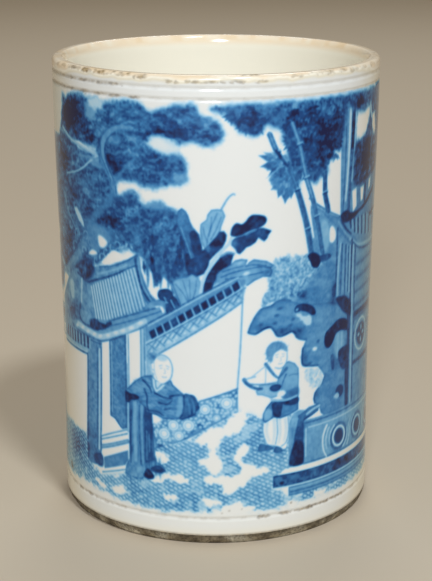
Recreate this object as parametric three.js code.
// A cylindrical porcelain brush pot, in millimetres, +Z up, standing on z = 0 about the Z axis.
// A potter makes it from four pieces of clay, luted together with slip before the firing:
// a foot ring, a base disc that stands on it, the waisted wall round the disc, and the mouth rim.
import * as THREE from "three";

// Driving dimensions
const potHeight = 155;
const mouthRadius = 55;
const waistDraw = 1.6;
const waistHeight = 48;
const footDraw = 1.3;
const mouthWall = 4.6;
const lowerWall = 6.2;
const rimHeight = 7.4;
const lipOuterRound = 1.5;
const lipInnerRound = 1.1;
const footHeight = 3.2;
const footBevel = 1.3;
const footWidth = 17;
const footInnerRound = 0.8;
const baseThickness = 7.5;
const baseEdgeRound = 2;
const lutingGap = 0.3;
const grooveWidth = 1.1;
const grooveDepth = 0.45;
const upperGrooveDrop = 3.9;
const lowerGrooveHeight = 9.1;

const sides = 72;
const wallSteps = 12;
const roundSteps = 4;

// The wall draws in a little from the mouth, most at the waist and less at the foot.
const waistRadius = mouthRadius - waistDraw;
const footRadius = mouthRadius - footDraw;

// The outline of the wall from foot to mouth: two smooth half waves that meet at the waist.
function outerRadius(z) {
  const below = z < waistHeight;
  const end = below ? footRadius : mouthRadius;
  const span = below ? waistHeight - footHeight : potHeight - waistHeight;
  const share = Math.min(1, Math.abs(z - waistHeight) / span);
  return waistRadius + (end - waistRadius) * share * share * (3 - 2 * share);
}

// The inside tapers straight from the thicker wall at the base to the thinner one at the mouth.
function innerRadius(z) {
  const share = (z - footHeight) / (potHeight - footHeight);
  const wall = lowerWall + (mouthWall - lowerWall) * share;
  return outerRadius(z) - wall;
}

const point = (radius, z) => new THREE.Vector2(radius, z);

// Points on a quarter round of an edge, from startAngle through 90 degrees, anticlockwise.
function quarterRound(centreRadius, centreZ, radius, startAngle) {
  const points = [];
  for (let i = 0; i <= roundSteps; i += 1) {
    const angle = startAngle + (i / roundSteps) * (Math.PI / 2);
    points.push(point(centreRadius + radius * Math.cos(angle), centreZ + radius * Math.sin(angle)));
  }
  return points;
}

// A turned line cut into the outside of the wall, widest at the surface.
function groove(z) {
  const half = grooveWidth / 2;
  return [
    point(outerRadius(z - half), z - half),
    point(outerRadius(z) - grooveDepth, z),
    point(outerRadius(z + half), z + half),
  ];
}

// The outline between two heights, in even steps, without its two ends.
function between(low, high, steps, radiusAt) {
  const points = [];
  for (let i = 1; i < steps; i += 1) {
    const z = low + ((high - low) * i) / steps;
    points.push(point(radiusAt(z), z));
  }
  return points;
}

function glaze(colour, roughness) {
  return new THREE.MeshStandardMaterial({ color: colour, roughness, metalness: 0 });
}

// Turns a profile about the pot's axis. A ring's profile closes on itself.
function turned(name, profile, material, closed) {
  const outline = closed ? [...profile, profile[0].clone()] : profile;
  const geometry = new THREE.LatheGeometry(outline, sides);
  geometry.rotateX(Math.PI / 2);
  const mesh = new THREE.Mesh(geometry, material);
  mesh.name = name;
  return mesh;
}

const rimBottom = potHeight - rimHeight;
const halfGroove = grooveWidth / 2;

// A broad flat ring of bare clay, bevelled outside where the glaze stops.
function footRing() {
  const inner = footRadius - footWidth;
  return turned("foot_ring", [
    point(inner, footHeight),
    ...quarterRound(inner + footInnerRound, footInnerRound, footInnerRound, Math.PI),
    point(footRadius - footBevel, 0),
    point(footRadius - footBevel / 4, footHeight / 2),
    point(outerRadius(footHeight), footHeight),
  ], glaze(0x7a6246, 0.8), true);
}

// The floor of the pot, standing on the foot ring inside the wall.
function baseDisc() {
  const top = footHeight + baseThickness;
  const radius = innerRadius(top) - lutingGap;
  return turned("base_disc", [
    point(0, footHeight),
    point(radius, footHeight),
    ...quarterRound(radius - baseEdgeRound, top - baseEdgeRound, baseEdgeRound, 0),
    point(0, top),
  ], glaze(0xece6d6, 0.15), false);
}

// The waisted wall, from the foot ring up to the groove below the mouth.
function bodyWall() {
  const inside = between(footHeight, rimBottom, wallSteps / 2, innerRadius).reverse();
  return turned("body_wall", [
    point(outerRadius(footHeight), footHeight),
    ...groove(lowerGrooveHeight),
    ...between(lowerGrooveHeight + halfGroove, rimBottom - halfGroove, wallSteps, outerRadius),
    point(outerRadius(rimBottom - halfGroove), rimBottom - halfGroove),
    point(outerRadius(rimBottom) - grooveDepth, rimBottom),
    point(innerRadius(rimBottom), rimBottom),
    ...inside,
    point(innerRadius(footHeight), footHeight),
  ], glaze(0xe6e7e4, 0.12), true);
}

// The mouth, with its turned line, its flat lip and the softened edges of the lip.
function mouthRim() {
  const lipOut = outerRadius(potHeight);
  const lipIn = innerRadius(potHeight);
  return turned("mouth_rim", [
    point(innerRadius(rimBottom), rimBottom),
    point(outerRadius(rimBottom) - grooveDepth, rimBottom),
    point(outerRadius(rimBottom + halfGroove), rimBottom + halfGroove),
    ...groove(potHeight - upperGrooveDrop),
    ...quarterRound(lipOut - lipOuterRound, potHeight - lipOuterRound, lipOuterRound, 0),
    ...quarterRound(lipIn + lipInnerRound, potHeight - lipInnerRound, lipInnerRound, Math.PI / 2),
  ], glaze(0xd9cdb2, 0.2), true);
}

const brushPot = new THREE.Group();
brushPot.add(footRing(), baseDisc(), bodyWall(), mouthRim());

export default brushPot;
